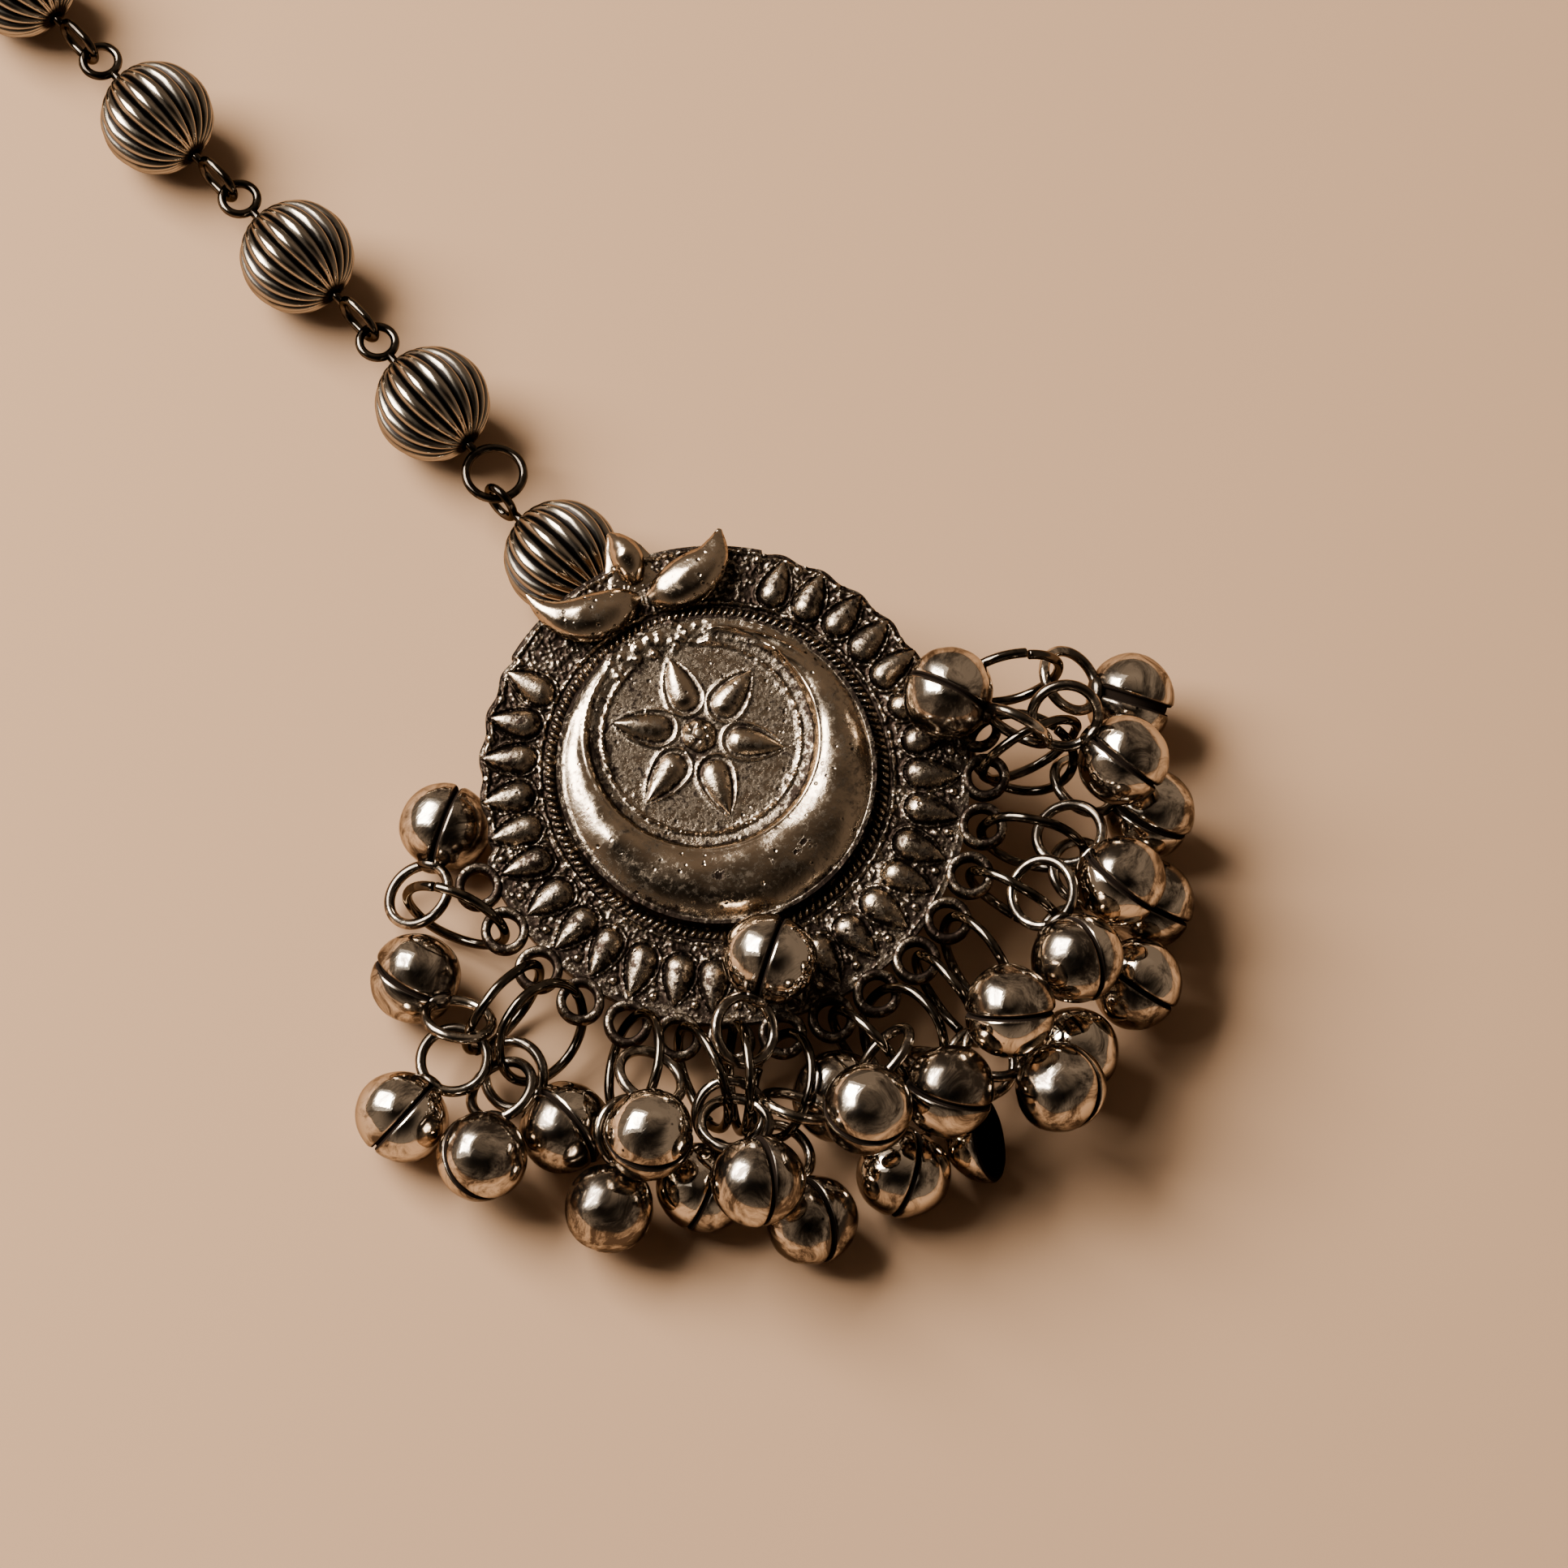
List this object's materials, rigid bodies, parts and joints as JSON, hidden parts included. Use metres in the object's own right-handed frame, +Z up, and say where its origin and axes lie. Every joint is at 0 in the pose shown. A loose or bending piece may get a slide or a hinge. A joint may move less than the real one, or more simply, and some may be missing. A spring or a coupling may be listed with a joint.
{
  "type": "maang tikka",
  "caption": "Oxidised silver maang tikka: a cast crescent and flower pendant with a fringe of small jingle bells on jump rings, a chain of fluted beads on eyed pins and a hair hook.",
  "frame": {"origin": "centre of the bounding box's underside, on the surface that the jewel lies on", "axes": "+Z up from that surface, +Y along the bead chain from the pendant to the hair hook"},
  "size_m": [0.0577, 0.122, 0.0141],
  "materials": {
    "cast_silver": "oxidised silver, dark in its hollows",
    "bead_silver": "polished ridges with black flutes",
    "bell_silver": "bright pressed silver, lightly tarnished",
    "ring_wire": "dark drawn wire"
  },
  "bodies": {
    "root": {"medallion": "cast_silver", "bead_crown": "bead_silver", "bead_1": "bead_silver", "bead_2": "bead_silver", "bead_3": "bead_silver", "bead_4": "bead_silver", "pin_crown": "ring_wire", "pin_1": "ring_wire", "pin_2": "ring_wire", "pin_3": "ring_wire", "pin_4": "ring_wire", "hook": "ring_wire", "rings_left": "ring_wire", "rings_right": "ring_wire", "bell_01": "bell_silver", "bell_02": "bell_silver", "bell_03": "bell_silver", "bell_04": "bell_silver", "bell_05": "bell_silver", "bell_06": "bell_silver", "bell_07": "bell_silver", "bell_08": "bell_silver", "bell_09": "bell_silver", "bell_10": "bell_silver", "bell_11": "bell_silver", "bell_12": "bell_silver", "bell_13": "bell_silver", "bell_14": "bell_silver", "bell_15": "bell_silver", "bell_16": "bell_silver", "bell_17": "bell_silver", "bell_18": "bell_silver", "bell_19": "bell_silver", "bell_20": "bell_silver", "bell_21": "bell_silver", "bell_22": "bell_silver", "bell_23": "bell_silver", "bell_24": "bell_silver", "bell_25": "bell_silver", "bell_26": "bell_silver", "bell_27": "bell_silver"}
  },
  "joints": []
}
